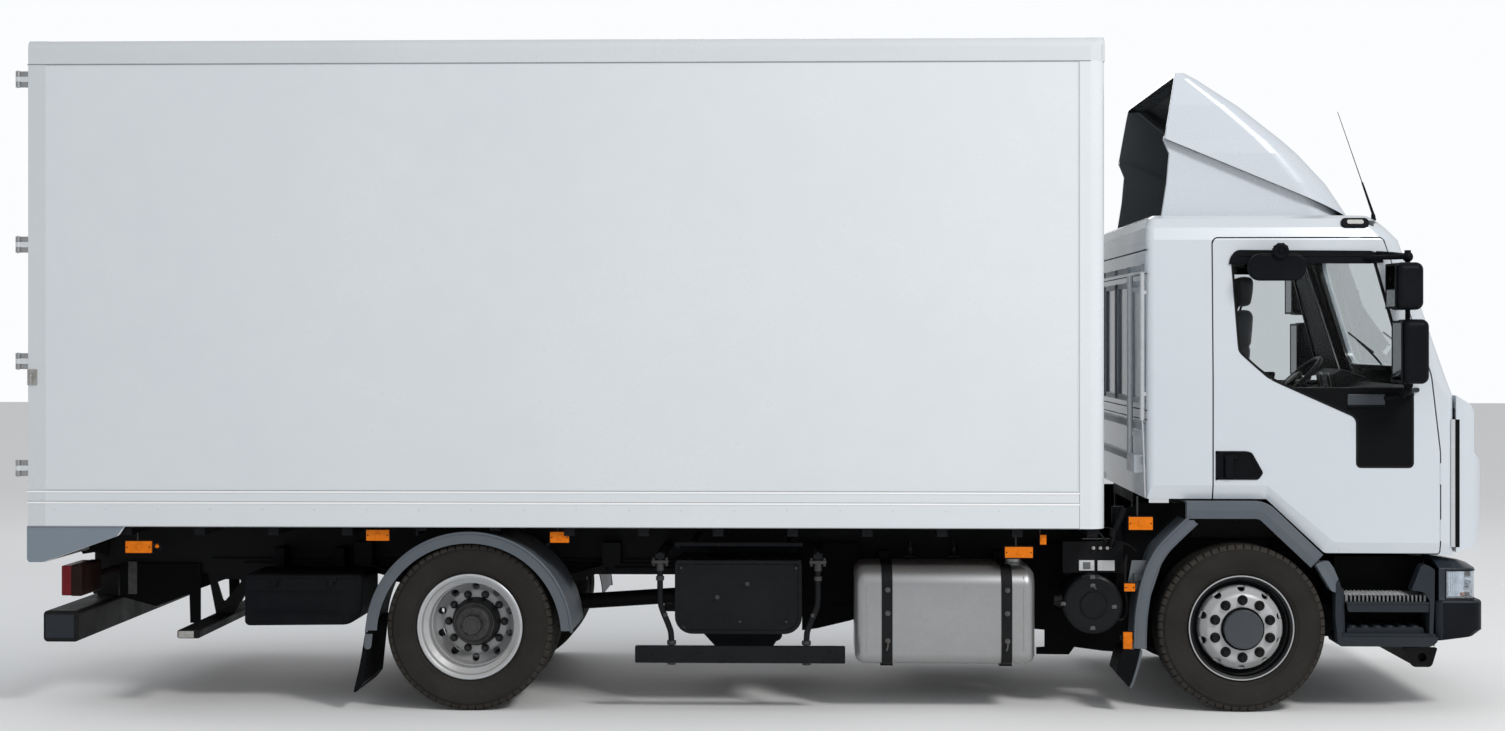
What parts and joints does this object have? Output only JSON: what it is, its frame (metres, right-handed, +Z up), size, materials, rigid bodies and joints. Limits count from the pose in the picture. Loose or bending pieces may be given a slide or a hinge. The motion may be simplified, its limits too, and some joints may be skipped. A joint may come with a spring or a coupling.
{
  "type": "box truck",
  "caption": "Cab-over box truck with a tilting cab, roof deflector, steered front wheels, twin rear wheels and a dry-freight body with hinged rear doors.",
  "frame": {"origin": "on the ground, under the middle of the whole truck", "axes": "+X forwards, +Y towards the driver's side, +Z up"},
  "size_m": [8.382, 2.96, 3.8349],
  "materials": {
    "tyre": "matte black rubber",
    "wheel_paint": "silver-grey painted steel, dusty",
    "chassis_paint": "dark grey chassis paint, dusty",
    "cast_block": "dull cast metal",
    "tank_metal": "brushed aluminium, weathered",
    "black_plastic": "grained black plastic",
    "box_paint": "satin white panel, slightly dirty",
    "rail_aluminium": "satin anodised rails and frame",
    "bare_steel": "galvanised steel",
    "floor_wood": "brown plywood floor",
    "cab_paint": "gloss silver-white cab paint",
    "grey_plastic": "slate grey plastic",
    "floor_paint": "dark floor mat and paint",
    "cab_trim": "dark grey cab trim",
    "seat_fabric": "woven grey seat cloth",
    "glass": "clear tinted glass",
    "lamp_clear": "clear lamp unit",
    "lamp_red": "red lamp lens in dark housing"
  },
  "bodies": {
    "chassis": {"air_cleaner": "black_plastic", "air_tanks": "black_plastic", "battery_box": "black_plastic", "box_floor": "floor_wood", "box_front_wall": "box_paint", "box_rear_frame": "rail_aluminium", "box_roof": "rail_aluminium", "box_side_walls": "box_paint", "box_subframe": "chassis_paint", "cab_steps": "black_plastic", "chassis_frame": "chassis_paint", "driveline": "chassis_paint", "engine": "cast_block", "exhaust_silencer": "tank_metal", "front_axle": "chassis_paint", "front_bumper": "black_plastic", "fuel_tank": "tank_metal", "headlamps": "lamp_clear", "leaf_springs": "chassis_paint", "mudguards": "grey_plastic", "rear_axle": "chassis_paint", "rear_underrun": "chassis_paint", "side_guards": "chassis_paint", "tail_lamps": "lamp_red", "tank_straps": "chassis_paint", "tool_box": "black_plastic"},
    "cab": {"cab_shell": "cab_paint", "cab_floor": "floor_paint", "front_panel": "cab_paint", "windshield": "glass", "dashboard": "cab_trim", "seats": "seat_fabric", "roof_deflector": "cab_paint", "cab_wheel_arches": "grey_plastic"},
    "steering_wheel": {"steering_wheel": "cab_trim"},
    "cab_door_right": {"door_right": "cab_paint", "door_glass_right": "glass", "mirrors_right": "black_plastic"},
    "cab_door_left": {"door_left": "cab_paint", "door_glass_left": "glass", "mirrors_left": "black_plastic"},
    "load_door_right": {"rear_door_right": "box_paint", "door_gear_right": "bare_steel"},
    "load_door_left": {"rear_door_left": "box_paint", "door_gear_left": "bare_steel"},
    "knuckle_right": {"knuckle_right": "chassis_paint"},
    "knuckle_left": {"knuckle_left": "chassis_paint"},
    "tie_rod": {"tie_rod": "chassis_paint"},
    "front_wheel_right": {"front_wheel_right": "wheel_paint", "front_tyre_right": "tyre"},
    "front_wheel_left": {"front_wheel_left": "wheel_paint", "front_tyre_left": "tyre"},
    "rear_wheels_right": {"rear_wheels_right": "wheel_paint", "rear_tyres_right": "tyre"},
    "rear_wheels_left": {"rear_wheels_left": "wheel_paint", "rear_tyres_left": "tyre"}
  },
  "joints": [
    {"name": "cab_tilt", "type": "hinge", "parent": "chassis", "child": "cab", "pos_m": [3.99, 0, 0.7], "axis": [0, 1, 0], "range_deg": [0, 60]},
    {"name": "cab_door_right_hinge", "type": "hinge", "parent": "cab", "child": "cab_door_right", "pos_m": [3.914, -1.15, 1.3], "axis": [0, 0, 1], "range_deg": [0, 80]},
    {"name": "cab_door_left_hinge", "type": "hinge", "parent": "cab", "child": "cab_door_left", "pos_m": [3.914, 1.15, 1.3], "axis": [0, 0, -1], "range_deg": [0, 80]},
    {"name": "load_door_right_hinge", "type": "hinge", "parent": "chassis", "child": "load_door_right", "pos_m": [-4.196, -1.25, 2.4], "axis": [0, 0, 1], "range_deg": [0, 270]},
    {"name": "load_door_left_hinge", "type": "hinge", "parent": "chassis", "child": "load_door_left", "pos_m": [-4.196, 1.25, 2.4], "axis": [0, 0, -1], "range_deg": [0, 270]},
    {"name": "steer_left", "type": "hinge", "parent": "chassis", "child": "knuckle_left", "pos_m": [2.796, 0.85, 0.4785], "axis": [0, 0, 1], "range_deg": [-38, 38]},
    {"name": "steer_right", "type": "hinge", "parent": "chassis", "child": "knuckle_right", "pos_m": [2.796, -0.85, 0.4785], "axis": [0, 0, 1], "range_deg": [-38, 38]},
    {"name": "tie_rod_pivot", "type": "hinge", "parent": "knuckle_left", "child": "tie_rod", "pos_m": [2.596, 0.85, 0.3665], "axis": [0, 0, 1], "range_deg": [-38, 38]},
    {"name": "steering_wheel_turn", "type": "hinge", "parent": "cab", "child": "steering_wheel", "pos_m": [3.45, 0.56, 1.85], "axis": [-0.6812, 0, 0.7321], "range_deg": [-684, 684]},
    {"name": "front_wheel_right_spin", "type": "hinge", "parent": "knuckle_right", "child": "front_wheel_right", "pos_m": [2.796, -1.01, 0.4785], "axis": [0, 1, 0], "continuous": true},
    {"name": "front_wheel_left_spin", "type": "hinge", "parent": "knuckle_left", "child": "front_wheel_left", "pos_m": [2.796, 1.01, 0.4785], "axis": [0, 1, 0], "continuous": true},
    {"name": "rear_wheels_right_spin", "type": "hinge", "parent": "chassis", "child": "rear_wheels_right", "pos_m": [-1.604, -0.927, 0.4785], "axis": [0, 1, 0], "continuous": true},
    {"name": "rear_wheels_left_spin", "type": "hinge", "parent": "chassis", "child": "rear_wheels_left", "pos_m": [-1.604, 0.927, 0.4785], "axis": [0, 1, 0], "continuous": true}
  ],
  "couplings": [
    {"joint": "steer_right", "follows": "steer_left", "ratio": 1},
    {"joint": "tie_rod_pivot", "follows": "steer_left", "ratio": -1},
    {"joint": "steering_wheel_turn", "follows": "steer_left", "ratio": 18}
  ]
}
